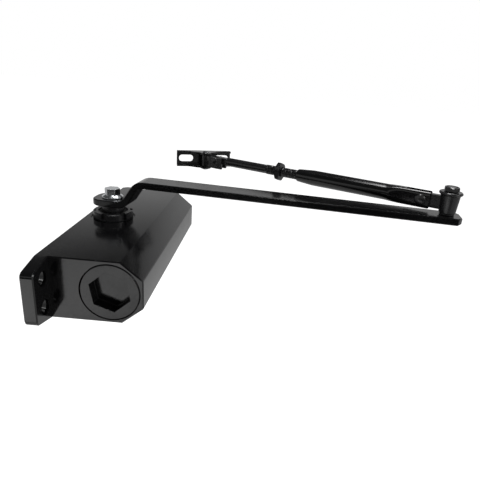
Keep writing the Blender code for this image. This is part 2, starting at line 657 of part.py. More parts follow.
def make_pinion(arm_axis):
    inside_gear = GEAR_HEIGHT / 2 - GEAR_SEAT / 4
    core = PITCH_RADIUS - DEDENDUM * 4 / 3
    top = EYE_TOP - 3 * CLEARANCE
    shoulder = EYE_BOTTOM - CLEARANCE
    foot = LOWER_BEARING_BOTTOM + CLEARANCE
    profile = [(0, foot), (LOWER_JOURNAL_RADIUS, foot),
               (LOWER_JOURNAL_RADIUS, -inside_gear), (core, -inside_gear), (core, inside_gear),
               (UPPER_JOURNAL_RADIUS, inside_gear), (UPPER_JOURNAL_RADIUS, shoulder), (0, shoulder)]
    pinion = add_object("pinion", turned(profile), arm_axis)
    gap_to_rack = -math.pi / 2 - ARM_HEADING
    phase = gap_to_rack + math.pi / GEAR_TEETH
    gear = prism(gear_outline(phase), -GEAR_HEIGHT / 2, GEAR_HEIGHT / 2)
    combine(pinion, add_object("gear_shape", gear, arm_axis), "UNION")
    half = SPINDLE_SQUARE / 2
    square = prism(box_outline(-half, half, -half, half), shoulder - SHOULDER_HEIGHT / 2, top)
    combine(pinion, add_object("square_shape", square, arm_axis), "UNION")
    tapped = rod_profile(BOLT_SHANK_RADIUS + RUNNING, EYE_TOP - BOLT_REACH - GEAR_SEAT, EYE_TOP + CLEARANCE)
    combine(pinion, add_object("tapped_cutter", turned(tapped, SMALL_STEPS), arm_axis), "DIFFERENCE")
    paint(pinion, "bright_steel")


def make_bearings():
    axis = add_empty("pinion_axis", (0, -PINION_DEPTH, 0))
    bearing_inner = UPPER_JOURNAL_RADIUS + RUNNING
    lip_low = HALF_HEIGHT
    lip_high = lip_low + BEARING_LIP
    flange_low = HALF_HEIGHT - NUT_RECESS_DEPTH + CLEARANCE
    pocket = BEARING_RADIUS + CLEARANCE
    edge = 2 * CLEARANCE
    profile = [(pocket, NUT_BOTTOM), (NUT_THREAD_RADIUS, NUT_BOTTOM), (NUT_THREAD_RADIUS, flange_low),
               (NUT_RADIUS, flange_low), (NUT_RADIUS, NUT_TOP - edge),
               (NUT_RADIUS - edge, NUT_TOP), (pocket, NUT_TOP), (pocket, lip_high),
               (UPPER_JOURNAL_RADIUS + 2 * CLEARANCE, lip_high),
               (UPPER_JOURNAL_RADIUS + 2 * CLEARANCE, lip_low), (pocket, lip_low)]
    nut = add_object("bearing_nut", turned(profile), axis)
    for number in range(BEARING_NUT_NOTCHES):
        turn = Matrix.Rotation(NOTCH_TURN + math.tau * number / BEARING_NUT_NOTCHES, 4, "Z")
        outline = box_outline(NUT_RADIUS - NOTCH_DEPTH, NUT_RADIUS + NOTCH_DEPTH,
                              -NOTCH_WIDTH / 2, NOTCH_WIDTH / 2)
        notch = prism(outline, HALF_HEIGHT + NOTCH_FLOOR, NUT_TOP + CLEARANCE, turn)
        combine(nut, add_object(f"notch_cutter_{number}", notch, axis), "DIFFERENCE")
    paint(nut, "black_steel")
    upper = ring_profile(bearing_inner, BEARING_RADIUS, NUT_BOTTOM + CLEARANCE, lip_low - CLEARANCE)
    paint(add_object("upper_bearing", turned(upper), axis), "bronze")
    seal = ring_profile(bearing_inner, BEARING_RADIUS, lip_high + CLEARANCE, NUT_TOP - 2 * CLEARANCE)
    paint(add_object("pinion_seal", turned(seal), axis), "rubber")
    lower = ring_profile(LOWER_JOURNAL_RADIUS + RUNNING, LOWER_JOURNAL_RADIUS + BEARING_WALL,
                         LOWER_BEARING_BOTTOM, LOWER_BEARING_TOP)
    paint(add_object("lower_bearing", turned(lower), axis), "bronze")
    cap = rod_profile(LOWER_JOURNAL_RADIUS + BEARING_WALL, DUST_CAP_BOTTOM, DUST_CAP_TOP)
    paint(add_object("dust_cap", turned(cap), axis), "nylon")


# ---------------------------------------------------------------- main arm and elbow

def bent_strip(corners, thickness, inner_radii, steps=5):
    """Side outline of a flat bar bent at each inner corner of its centre line."""
    centre_line = [(Vector(corners[0]), (Vector(corners[1]) - Vector(corners[0])).normalized())]
    for before, corner, after, inner_radius in zip(corners, corners[1:], corners[2:], inner_radii):
        radius = inner_radius + thickness / 2
        inward = (Vector(corner) - Vector(before)).normalized()
        outward = (Vector(after) - Vector(corner)).normalized()
        turn = inward.angle_signed(outward)
        setback = radius * math.tan(abs(turn) / 2)
        side = -math.copysign(1, turn)
        normal = Vector((-inward.y, inward.x)) * side
        centre = Vector(corner) - inward * setback + normal * radius
        for step in range(steps + 1):
            part = -turn * step / steps
            swing = Matrix.Rotation(part, 2)
            centre_line.append((centre - swing @ (normal * radius), swing @ inward))
    last = (Vector(corners[-1]) - Vector(corners[-2])).normalized()
    centre_line.append((Vector(corners[-1]), last))
    left = [point + Vector((-way.y, way.x)) * thickness / 2 for point, way in centre_line]
    right = [point - Vector((-way.y, way.x)) * thickness / 2 for point, way in centre_line]
    return [tuple(point) for point in left + right[::-1]]


def arm_plan():
    """The main arm from above: round-cornered eye, straight bar, blunt rounded tip."""
    half_eye = EYE_WIDTH / 2
    half_arm = ARM_WIDTH / 2
    neck = ARM_BEND_START - ARM_THICKNESS / 2
    tip = ARM_LENGTH + ARM_TIP
    corner = (EYE_CORNER - EYE_BACK, half_eye - EYE_CORNER)
    side = arc(corner, EYE_CORNER, math.pi, math.pi / 2, 6)
    side += [(neck, half_eye), (neck + 2 * (half_eye - half_arm), half_arm),
             (tip - ARM_WIDTH / 6, half_arm), (tip, half_arm / 2)]
    return side + [(x, -y) for x, y in reversed(side)]


def make_main_arm(arm_axis):
    low = EYE_BOTTOM + ARM_THICKNESS / 2
    line = [(-EYE_BACK - ARM_EDGE, low), (ARM_BEND_START, low),
            (ARM_BEND_START + ARM_RUN, low + ARM_RISE), (ARM_LENGTH + ARM_TIP + ARM_EDGE, low + ARM_RISE)]
    outline = bent_strip(line, ARM_THICKNESS, (LOWER_BEND_RADIUS, UPPER_BEND_RADIUS))
    arm = add_object("main_arm", prism(outline, EYE_WIDTH, -EYE_WIDTH, TO_Y), arm_axis)
    plan = prism(arm_plan(), EYE_BOTTOM - ARM_EDGE, ARM_TOP + ARM_EDGE)
    combine(arm, add_object("arm_plan_guide", plan, arm_axis), "INTERSECT")
    soften(arm, ARM_EDGE, 1, 50)
    half = SPINDLE_SQUARE / 2 + CLEARANCE
    square = prism(box_outline(-half, half, -half, half), EYE_BOTTOM - ARM_EDGE, EYE_TOP + ARM_EDGE)
    combine(arm, add_object("square_hole_cutter", square, arm_axis), "DIFFERENCE")
    hole = turned(rod_profile(STUD_HOLE_RADIUS, ARM_TOP - 2 * ARM_THICKNESS, ARM_TOP + ARM_EDGE), SMALL_STEPS)
    combine(arm, add_object("stud_hole_cutter", hole, arm_axis, (ARM_LENGTH, 0, 0)), "DIFFERENCE")
    sink = rod_profile(STUD_HEAD_RADIUS + CLEARANCE, ARM_UNDERSIDE - ARM_EDGE,
                       ARM_UNDERSIDE + STUD_HEAD + CLEARANCE)
    cutter = add_object("stud_head_cutter", turned(sink), arm_axis, (ARM_LENGTH, 0, 0))
    combine(arm, cutter, "DIFFERENCE")
    paint(arm, "black_paint")


def make_bolt(arm_axis):
    seat = EYE_TOP + CLEARANCE
    collar = seat + BOLT_FLANGE
    profile = [(0, EYE_TOP - BOLT_REACH), (BOLT_SHANK_RADIUS, EYE_TOP - BOLT_REACH),
               (BOLT_SHANK_RADIUS, seat), (BOLT_FLANGE_RADIUS, seat),
               (BOLT_FLANGE_RADIUS, seat + BOLT_FLANGE / 3), (BOLT_FLATS / 2, collar), (0, collar)]
    bolt = add_object("arm_bolt", turned(profile), arm_axis)
    head = prism(hexagon(BOLT_FLATS, BOLT_TURN), seat + BOLT_FLANGE / 2, collar + BOLT_HEAD)
    combine(bolt, add_object("bolt_head_shape", head, arm_axis), "UNION")
    soften(bolt, CLEARANCE, 1, 50)
    paint(bolt, "chrome")


def make_elbow(arm_axis):
    """The pieces stacked on the elbow's stud, which is riveted into the main arm."""
    elbow = add_empty("elbow_stack", (ARM_LENGTH, 0, 0), parent=arm_axis)
    nut_top = ELBOW_NUT_BOTTOM + ELBOW_NUT
    edge = 2 * CLEARANCE
    head_top = ARM_UNDERSIDE + STUD_HEAD
    profile = [(0, ARM_UNDERSIDE), (STUD_HEAD_RADIUS - edge, ARM_UNDERSIDE),
               (STUD_HEAD_RADIUS, ARM_UNDERSIDE + edge), (STUD_HEAD_RADIUS, head_top),
               (STUD_RADIUS, head_top), (STUD_RADIUS, nut_top - edge),
               (STUD_RADIUS - edge, nut_top), (0, nut_top)]
    paint(add_object("elbow_stud", turned(profile), elbow), "black_steel")
    hole = STUD_HOLE_RADIUS
    spacer = ring_profile(hole, STUD_RADIUS + SPACER_WALL, SPACER_BOTTOM, SPACER_BOTTOM + SPACER_THICKNESS)
    paint(add_object("elbow_spacer", turned(spacer), elbow), "black_steel")
    disc_top = ELBOW_DISC_BOTTOM + ELBOW_DISC
    disc = [(hole, ELBOW_DISC_BOTTOM), (ELBOW_DISC_RADIUS - edge, ELBOW_DISC_BOTTOM),
            (ELBOW_DISC_RADIUS, ELBOW_DISC_BOTTOM + edge), (ELBOW_DISC_RADIUS, disc_top - edge),
            (ELBOW_DISC_RADIUS - edge, disc_top), (hole, disc_top)]
    paint(add_object("elbow_disc", turned(disc), elbow), "black_steel")
    make_hex_nut("elbow_nut", ELBOW_NUT_FLATS, ELBOW_NUT_BOTTOM, ELBOW_NUT, hole, elbow)


def make_hex_nut(name, flats, low, height, hole_radius, parent, stand=Matrix.Identity(4)):
    """A hexagon trimmed by a turned shape that chamfers both faces and opens the hole."""
    nut = add_object(name, prism(hexagon(flats, NUT_TURN), low, low + height, stand), parent)
    over = flats / math.sqrt(3) + CLEARANCE
    inside = flats / 2 - CLEARANCE
    drop = (over - inside) / 2
    below = low - CLEARANCE
    above = low + height + CLEARANCE
    profile = [(hole_radius, below), (inside, below), (inside, low), (over, low + drop),
               (over, low + height - drop), (inside, low + height), (inside, above), (hole_radius, above)]
    combine(nut, add_object(name + "_trim_guide", turned(profile, ROUND_STEPS, stand), parent), "INTERSECT")
    paint(nut, "black_steel")


def make_elbow_knuckle(elbow_axis):
    boss = [(BOSS_BORE_RADIUS, BOSS_BOTTOM), (BOSS_FOOT_RADIUS, BOSS_BOTTOM),
            (STUD_RADIUS + BOSS_TOP_WALL, BOSS_TOP), (BOSS_BORE_RADIUS, BOSS_TOP)]
    knuckle = add_object("elbow_knuckle", turned(boss), elbow_axis)
    half = TONGUE_HEIGHT / 2
    start = (STUD_RADIUS + BOSS_FOOT_RADIUS) / 2
    outline = [(start, FOREARM_LEVEL - half)]
    outline += arc((RIVET_REACH, FOREARM_LEVEL), half, -math.pi / 2, math.pi / 2, 10)
    outline += [(start, FOREARM_LEVEL + half)]
    tongue = prism(outline, TONGUE_THICKNESS / 2, -TONGUE_THICKNESS / 2, TO_Y)
    combine(knuckle, add_object("tongue_shape", tongue, elbow_axis), "UNION")
    hole = turned(rod_profile(RIVET_RADIUS + RUNNING, -CLEVIS_WIDTH, CLEVIS_WIDTH), SMALL_STEPS, TO_Y)
    place = (RIVET_REACH, 0, FOREARM_LEVEL)
    combine(knuckle, add_object("tongue_hole_cutter", hole, elbow_axis, place), "DIFFERENCE")
    paint(knuckle, "black_steel")


# ---------------------------------------------------------------- forearm

def flat_round(half_width, half_height, roundness, steps=SMALL_STEPS + 4):
    """A section that goes from a circle (2) to a rounded box (4 and over)."""
    section = []
    for step in range(steps):
        turn = step / steps * math.tau
        c = math.cos(turn)
        s = math.sin(turn)
        section.append((half_width * math.copysign(abs(c) ** (2 / roundness), c),
                        half_height * math.copysign(abs(s) ** (2 / roundness), s)))
    return section


def lofted(sections):
    """A skin along X over (x, outline) sections with equal numbers of points."""
    bm = bmesh.new()
    rings = [[bm.verts.new((x, a, b)) for a, b in outline] for x, outline in sections]
    for first, second in zip(rings, rings[1:]):
        for number in range(len(first)):
            after = (number + 1) % len(first)
            bm.faces.new((first[number], first[after], second[after], second[number]))
    bm.faces.new(rings[0])
    bm.faces.new(rings[-1])
    return bm


def make_forearm(tilt_axis):
    """The tube: slotted clevis at the elbow, round along its length, swaged at the rod."""
    flat = (CLEVIS_WIDTH / 2, CLEVIS_HEIGHT / 2)
    edge = 2 * CLEARANCE
    sections = [(CLEVIS_START, flat_round(flat[0] - edge, flat[1] - edge, 5)),
                (CLEVIS_START + edge, flat_round(*flat, 5)), (CLEVIS_END, flat_round(*flat, 5))]
    blend_steps = 6
    for step in range(1, blend_steps + 1):
        part = step / blend_steps
        ease = part * part * (3 - 2 * part)
        half_width = flat[0] + (TUBE_RADIUS - flat[0]) * ease
        half_height = flat[1] + (TUBE_RADIUS - flat[1]) * ease
        x = CLEVIS_END + (TUBE_ROUND_START - CLEVIS_END) * part
        sections.append((x, flat_round(half_width, half_height, 5 - 3 * ease)))
    for x, radius in ((TUBE_NECK_START, TUBE_RADIUS), (TUBE_END - edge, TUBE_NECK_RADIUS),
                      (TUBE_END, TUBE_NECK_RADIUS - edge / 2)):
        sections.append((x, flat_round(radius, radius, 2)))
    shifted = [(x - RIVET_REACH, outline) for x, outline in sections]
    tube = add_object("forearm_tube", lofted(shifted), tilt_axis)
    bore = [(0, TUBE_ROUND_START), (TUBE_BORE, TUBE_ROUND_START), (TUBE_BORE, TUBE_NECK_START),
            (THREAD_HOLE_RADIUS, TUBE_NECK_START), (THREAD_HOLE_RADIUS, TUBE_END + edge),
            (0, TUBE_END + edge)]
    shifted = [(radius, x - RIVET_REACH) for radius, x in bore]
    combine(tube, add_object("tube_bore_cutter", turned(shifted, SMALL_STEPS, TO_X), tilt_axis), "DIFFERENCE")
    gap = TONGUE_THICKNESS / 2 + CLEARANCE
    slot = prism(box_outline(-RIVET_SETBACK - edge, CLEVIS_SLOT_LENGTH - RIVET_SETBACK, -gap, gap),
                 -CLEVIS_HEIGHT, CLEVIS_HEIGHT)
    combine(tube, add_object("clevis_slot_cutter", slot, tilt_axis), "DIFFERENCE")
    hole = turned(rod_profile(RIVET_RADIUS + CLEARANCE, -CLEVIS_WIDTH, CLEVIS_WIDTH), SMALL_STEPS, TO_Y)
    combine(tube, add_object("clevis_hole_cutter", hole, tilt_axis), "DIFFERENCE")
    paint(tube, "black_paint")
    rivet = rivet_profile(RIVET_RADIUS, CLEVIS_WIDTH / 2 + CLEARANCE, RIVET_HEAD_WALL, RIVET_HEAD)
    paint(add_object("elbow_rivet", turned(rivet, SMALL_STEPS, TO_Y), tilt_axis), "black_steel")


def make_rod(tilt_axis):
    rivet = FOREARM_LENGTH - KNUCKLE_REACH
    neck = rivet - KNUCKLE_TAIL - ROD_GAP
    profile = [(0, THREAD_INNER_END), (THREAD_RADIUS, THREAD_INNER_END), (THREAD_RADIUS, THREAD_OUTER_END),
               (ROD_RADIUS, THREAD_OUTER_END + THREAD_RELIEF), (ROD_RADIUS, neck), (0, neck)]
    shifted = [(radius, x - RIVET_REACH) for radius, x in profile]
    rod = add_object("adjusting_rod", turned(shifted, SMALL_STEPS, TO_X), tilt_axis)
    half = ROD_TONGUE_HEIGHT / 2
    inside = neck - ROD_RADIUS - RIVET_REACH
    outline = [(inside, -half)]
    outline += arc((rivet - RIVET_REACH, 0), half, -math.pi / 2, math.pi / 2, 10)
    outline += [(inside, half)]
    thick = ROD_TONGUE_THICKNESS / 2
    combine(rod, add_object("rod_tongue_shape", prism(outline, thick, -thick, TO_Y), tilt_axis), "UNION")
    drill = rod_profile(SWIVEL_RIVET_RADIUS + RUNNING, -KNUCKLE_WIDTH, KNUCKLE_WIDTH)
    hole = turned(drill, SMALL_STEPS, TO_Y)
    place = (rivet - RIVET_REACH, 0, 0)
    combine(rod, add_object("rod_hole_cutter", hole, tilt_axis, place), "DIFFERENCE")
    paint(rod, "black_steel")
    make_hex_nut("lock_nut", LOCK_NUT_FLATS, LOCK_NUT_PLACE - RIVET_REACH, LOCK_NUT_THICKNESS,
                 THREAD_HOLE_RADIUS, tilt_axis, TO_X)


# ---------------------------------------------------------------- swivel and bracket

def make_swivel(pin_axis):
    gap = BRACKET_HEIGHT - 2 * BRACKET_SHEET - 2 * CLEARANCE
    barrel = ring_profile(PIN_BORE_RADIUS, BARREL_RADIUS, -gap / 2, gap / 2)
    knuckle = add_object("swivel_knuckle", turned(barrel, SMALL_STEPS), pin_axis)
    half = KNUCKLE_WIDTH / 2
    inner = (PIN_RADIUS + BARREL_RADIUS) / 2
    outline = [(-inner, -inner), (-KNUCKLE_WEB, -half), (-KNUCKLE_LENGTH, -half), (-KNUCKLE_LENGTH, half),
               (-KNUCKLE_WEB, half), (-inner, inner)]
    block = prism(outline, -gap / 2 + RUNNING, gap / 2 - RUNNING)
    combine(knuckle, add_object("knuckle_block_shape", block, pin_axis), "UNION")
    slot_half = ROD_TONGUE_THICKNESS / 2 + CLEARANCE
    slot_end = -KNUCKLE_REACH + ROD_TONGUE_HEIGHT / 2 + KNUCKLE_ROOM
    slot = prism(box_outline(-KNUCKLE_LENGTH - CLEARANCE, slot_end, -slot_half, slot_half), -gap, gap)
    combine(knuckle, add_object("knuckle_slot_cutter", slot, pin_axis), "DIFFERENCE")
    pin = turned(rod_profile(PIN_BORE_RADIUS, -gap, gap), SMALL_STEPS)
    combine(knuckle, add_object("knuckle_pin_cutter", pin, pin_axis), "DIFFERENCE")
    drill = rod_profile(SWIVEL_RIVET_RADIUS + CLEARANCE, -KNUCKLE_WIDTH, KNUCKLE_WIDTH)
    hole = turned(drill, SMALL_STEPS, TO_Y)
    place = (-KNUCKLE_REACH, 0, KNUCKLE_DROP)
    combine(knuckle, add_object("knuckle_hole_cutter", hole, pin_axis, place), "DIFFERENCE")
    paint(knuckle, "black_steel")
    rivet = rivet_profile(SWIVEL_RIVET_RADIUS, half + CLEARANCE, SWIVEL_RIVET_HEAD_WALL, SWIVEL_RIVET_HEAD)
    paint(add_object("swivel_rivet", turned(rivet, SMALL_STEPS, TO_Y), pin_axis, place), "black_steel")


def bracket_outline():
    """The bracket from above: straight back, shallow flanges that swell round the pin."""
    half = BRACKET_LENGTH / 2
    front = BRACKET_STANDOFF - FLANGE_DEPTH
    side = [(half, BRACKET_STANDOFF), (half, front), (FLANGE_SWELL, front)]
    steps = 6
    for step in range(1, steps):
        part = step / steps
        ease = part * part * (3 - 2 * part)
        side.append((FLANGE_SWELL + (FLANGE_NOSE_RADIUS - FLANGE_SWELL) * part, front * (1 - ease)))
    nose = arc((0, 0), FLANGE_NOSE_RADIUS, 0, -math.pi / 2, 6)
    side += nose
    return side + [(-x, y) for x, y in reversed(side[:-1])]


def make_bracket(bracket_axis):
    half_height = BRACKET_HEIGHT / 2
    bracket = add_object("bracket", prism(bracket_outline(), -half_height, half_height), bracket_axis)
    inside = half_height - BRACKET_SHEET
    pocket = prism(box_outline(-BRACKET_LENGTH, BRACKET_LENGTH, -BRACKET_STANDOFF,
                               BRACKET_STANDOFF - BRACKET_SHEET), -inside, inside)
    combine(bracket, add_object("bracket_pocket_cutter", pocket, bracket_axis), "DIFFERENCE")
    slot_half = SLOT_LENGTH / 2
    slot_wide = SLOT_WIDTH / 2
    slot_outline = rounded_box(-slot_half, slot_half, -slot_wide, slot_wide, slot_wide - RUNNING)
    for side in (-1, 1):
        slot = prism(slot_outline, BRACKET_STANDOFF + CLEARANCE, BRACKET_STANDOFF - 2 * BRACKET_SHEET, TO_Y)
        cutter = add_object(f"bracket_slot_cutter_{side}", slot, bracket_axis, (side * SLOT_CENTRE, 0, 0))
        combine(bracket, cutter, "DIFFERENCE")
    hole = turned(rod_profile(PIN_RADIUS + CLEARANCE, -BRACKET_HEIGHT, BRACKET_HEIGHT), SMALL_STEPS)
    combine(bracket, add_object("bracket_pin_cutter", hole, bracket_axis), "DIFFERENCE")
    paint(bracket, "black_paint")
    pin = rivet_profile(PIN_RADIUS, half_height + CLEARANCE, PIN_HEAD_WALL, PIN_HEAD)
    paint(add_object("bracket_pin", turned(pin, SMALL_STEPS), bracket_axis), "bright_steel")


# ---------------------------------------------------------------- assembly

clear_scene()
make_housing()
make_plug("plug_near", -1)
make_plug("plug_far", 1)
make_spring(make_piston())
for valve_name, valve_place in zip(("closing_speed_screw", "latching_speed_screw"), valve_places()):
    make_valve(valve_name, valve_place)
make_bearings()

ARM_AXIS = add_empty("arm_axis", (0, -PINION_DEPTH, 0), ARM_HEADING)
make_pinion(ARM_AXIS)
make_main_arm(ARM_AXIS)
make_bolt(ARM_AXIS)
make_elbow(ARM_AXIS)

ELBOW_AXIS = add_empty("elbow_axis", (ARM_LENGTH, 0, 0), math.pi - ELBOW_FOLD, ARM_AXIS)
make_elbow_knuckle(ELBOW_AXIS)

TILT_AXIS = add_empty("forearm_tilt_axis", (RIVET_REACH, 0, FOREARM_LEVEL), parent=ELBOW_AXIS)
make_forearm(TILT_AXIS)
make_rod(TILT_AXIS)

ROD_END = FOREARM_LENGTH - KNUCKLE_REACH - RIVET_REACH
ROD_END_AXIS = add_empty("rod_end_axis", (ROD_END, 0, 0), parent=TILT_AXIS)
PIN_AXIS = add_empty("bracket_pin_axis", (KNUCKLE_REACH, 0, -KNUCKLE_DROP), parent=ROD_END_AXIS)
make_swivel(PIN_AXIS)
BRACKET_TURN = BRACKET_HEADING - (ARM_HEADING + math.pi - ELBOW_FOLD)
BRACKET_AXIS = add_empty("bracket_axis", (0, 0, 0), BRACKET_TURN, PIN_AXIS)
make_bracket(BRACKET_AXIS)
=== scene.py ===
import json
import math

import bmesh
import bpy
from mathutils import Matrix, Vector

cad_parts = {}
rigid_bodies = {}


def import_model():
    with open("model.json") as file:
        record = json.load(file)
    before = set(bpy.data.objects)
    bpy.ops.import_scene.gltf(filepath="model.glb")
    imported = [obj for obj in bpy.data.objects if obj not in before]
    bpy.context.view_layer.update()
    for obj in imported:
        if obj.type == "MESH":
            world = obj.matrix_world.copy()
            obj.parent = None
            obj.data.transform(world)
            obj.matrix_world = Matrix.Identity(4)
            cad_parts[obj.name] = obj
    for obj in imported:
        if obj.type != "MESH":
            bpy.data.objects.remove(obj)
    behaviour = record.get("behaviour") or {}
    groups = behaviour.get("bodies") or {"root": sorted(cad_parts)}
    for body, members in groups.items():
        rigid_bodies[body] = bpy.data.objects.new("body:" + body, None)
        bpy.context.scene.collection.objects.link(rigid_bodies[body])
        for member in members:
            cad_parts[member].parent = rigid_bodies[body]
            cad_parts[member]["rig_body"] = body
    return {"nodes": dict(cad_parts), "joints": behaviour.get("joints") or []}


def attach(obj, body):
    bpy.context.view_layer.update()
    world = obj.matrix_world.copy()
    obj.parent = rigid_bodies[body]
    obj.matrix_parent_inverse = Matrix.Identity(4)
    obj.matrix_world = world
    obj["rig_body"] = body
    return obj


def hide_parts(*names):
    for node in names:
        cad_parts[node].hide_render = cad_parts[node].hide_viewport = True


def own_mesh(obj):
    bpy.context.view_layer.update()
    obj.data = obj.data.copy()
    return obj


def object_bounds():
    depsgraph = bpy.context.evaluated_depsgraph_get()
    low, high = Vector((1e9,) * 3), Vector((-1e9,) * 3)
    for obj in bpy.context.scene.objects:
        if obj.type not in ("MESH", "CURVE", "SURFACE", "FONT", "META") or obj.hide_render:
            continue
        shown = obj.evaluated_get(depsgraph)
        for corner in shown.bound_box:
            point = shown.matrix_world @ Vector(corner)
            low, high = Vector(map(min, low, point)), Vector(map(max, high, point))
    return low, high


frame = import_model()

cad_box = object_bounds()

# ---------------------------------------------------------------- body
# The body is one aluminium die casting: a cylinder block with long front chamfers and two
# thin ears that carry the fixing screws. It is machined for the cylinder, the pinion and the
# two screws, then powder coated in gloss black, which flows out to a faint orange peel.

MM = 0.001
SKIN_MERGE = 0.002 * MM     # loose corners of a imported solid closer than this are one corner
FLAT_WITHIN = math.radians(0.3)
SHARP_FROM = math.radians(32)
EDGE_SEGMENTS = 2
COAT_IOR = 1.5              # of every finish here that isn't bare metal
PATCH_DETAIL = 3.0
GRAIN_DETAIL = 2.0
GRAIN_SPAN = (0.12, 0.40)   # where most of the two noises' product lies
BODY_EDGE = 0.22 * MM


def linear(code):
    """An sRGB hex colour as linear red, green, blue and alpha."""
    parts = [int(code[at:at + 2], 16) / 255 for at in (1, 3, 5)]
    return (*[p / 12.92 if p <= 0.04045 else ((p + 0.055) / 1.055) ** 2.4 for p in parts], 1.0)


def add_node(tree, kind, settings=None, links=None):
    """One node with its settings, and the sockets that feed it."""
    made = tree.nodes.new(kind)
    for key, value in (settings or {}).items():
        if isinstance(key, int) or key in made.inputs:
            made.inputs[key].default_value = value
        else:
            setattr(made, key, value)
    for key, source in (links or {}).items():
        tree.links.new(source, made.inputs[key])
    return made


def surface(name, dark, light, rough, metallic, patch, grain, relief, stretch=(1, 1, 1)):
    """A finish that drifts between two tones over patches, with a fine grain that has relief.

    rough is (lowest, highest); patch, grain and relief are real sizes; stretch squeezes the
    grain's pattern along each axis, so a value under one draws it out.
    """
    made = bpy.data.materials.new(name)
    made.use_nodes = True
    tree = made.node_tree
    shader = tree.nodes["Principled BSDF"]
    shader.inputs["Metallic"].default_value = metallic
    if not metallic:
        shader.inputs["IOR"].default_value = COAT_IOR
    place = add_node(tree, "ShaderNodeTexCoord").outputs["Object"]
    broad = add_node(tree, "ShaderNodeTexNoise", {"Scale": 1 / patch, "Detail": PATCH_DETAIL},
                     {"Vector": place})
    drawn = add_node(tree, "ShaderNodeMapping", {"Scale": stretch}, {"Vector": place})
    fine = add_node(tree, "ShaderNodeTexNoise", {"Scale": 1 / grain, "Detail": GRAIN_DETAIL},
                    {"Vector": drawn.outputs["Vector"]})
    tone = add_node(tree, "ShaderNodeMix",
                    {"data_type": "RGBA", 6: linear(dark), 7: linear(light)},
                    {0: broad.outputs["Fac"]})
    tree.links.new(tone.outputs[2], shader.inputs["Base Color"])
    both = add_node(tree, "ShaderNodeMath", {"operation": "MULTIPLY"},
                    {0: broad.outputs["Fac"], 1: fine.outputs["Fac"]})
    gloss = add_node(tree, "ShaderNodeMapRange",
                     {1: GRAIN_SPAN[0], 2: GRAIN_SPAN[1], 3: rough[0], 4: rough[1]},
                     {0: both.outputs["Value"]})
    tree.links.new(gloss.outputs["Result"], shader.inputs["Roughness"])
    bump = add_node(tree, "ShaderNodeBump", {"Strength": 1.0, "Distance": relief},
                    {"Height": fine.outputs["Fac"]})
    tree.links.new(bump.outputs["Normal"], shader.inputs["Normal"])
    return made


def body_of_node(node):
    return frame["nodes"][node]["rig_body"]


def merged(node):
    """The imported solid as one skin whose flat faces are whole, ready for finer edges."""
    mesh = bmesh.new()
    mesh.from_mesh(frame["nodes"][node].data)
    bmesh.ops.remove_doubles(mesh, verts=mesh.verts, dist=SKIN_MERGE)
    bmesh.ops.dissolve_limit(mesh, angle_limit=FLAT_WITHIN, verts=mesh.verts, edges=mesh.edges)
    return mesh


def finished(name, mesh, material, body, replaced=(), edge=0.0):
    """A shown piece from a mesh: edges broken by a small round, flats kept flat, on its body."""
    data = bpy.data.meshes.new(name)
    mesh.to_mesh(data)
    mesh.free()
    data.materials.clear()
    data.materials.append(material)
    piece = bpy.data.objects.new(name, data)
    bpy.context.scene.collection.objects.link(piece)
    data.shade_smooth()
    data.set_sharp_from_angle(angle=SHARP_FROM)
    if edge:
        bevel = piece.modifiers.new("broken_edges", "BEVEL")
        bevel.width = edge
        bevel.segments = EDGE_SEGMENTS
        bevel.limit_method = "ANGLE"
        bevel.angle_limit = SHARP_FROM
        bevel.use_clamp_overlap = True
    level = piece.modifiers.new("flats_stay_flat", "WEIGHTED_NORMAL")
    level.keep_sharp = True
    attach(piece, body)
    if replaced:
        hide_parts(*replaced)
    return piece


def refine(node, material, edge=0.0):
    """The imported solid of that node, shown with finer edges and true shading."""
    return finished(node + "_finished", merged(node), material, body_of_node(node),
                    (node,), edge)


# Polyester powder coat, sprayed and baked: deep gloss black with a 1.6 mm orange peel that is
# only a few microns high, so reflections waver slightly.
powder_coat = surface("gloss_black_powder_coat", "#060607", "#0c0c0d", (0.10, 0.19), 0.0,
                      28 * MM, 1.6 * MM, 0.006 * MM)
refine("housing", powder_coat, BODY_EDGE)

# ---------------------------------------------------------------- end plugs
# Two steel plugs screw into the ends of the cylinder and seal it on rubber rings. Each is
# turned, broached with a large hexagon and coated with the body's black.

PLUG_EDGE = 0.20 * MM
plug_coat = surface("black_coated_turned_steel", "#060607", "#0e0e0f", (0.13, 0.24), 0.0,
                    14 * MM, 1.2 * MM, 0.005 * MM)
# Nitrile rubber, moulded: matt, with a faint bloom.
nitrile = surface("moulded_nitrile_rubber", "#0b0b0b", "#191918", (0.62, 0.80), 0.0,
                  6 * MM, 0.5 * MM, 0.010 * MM)
for plug in ("plug_near", "plug_far"):
    refine(plug, plug_coat, PLUG_EDGE)
    refine(plug + "_oring", nitrile)

# ---------------------------------------------------------------- piston and spring
# A cast iron piston carries the rack, a seal at each end and a check ball. A coil of
# oil-tempered wire pushes it back, seated on a steel washer against the far plug.

PISTON_EDGE = 0.12 * MM


def joint_named(name):
    return next(joint for joint in frame["joints"] if joint["name"] == name)


# Grey cast iron, turned and ground: fine lengthwise marks 0.4 mm apart.
cast_iron = surface("ground_grey_cast_iron", "#57575a", "#737376", (0.34, 0.52), 1.0,
                    9 * MM, 0.4 * MM, 0.004 * MM, (0.15, 1, 1))
# Oil-tempered spring wire, drawn: dark, with a thin blue-grey scale.
spring_wire = surface("oil_tempered_spring_wire", "#3c3e43", "#5a5b5e", (0.28, 0.42), 1.0,
                      7 * MM, 0.6 * MM, 0.004 * MM)
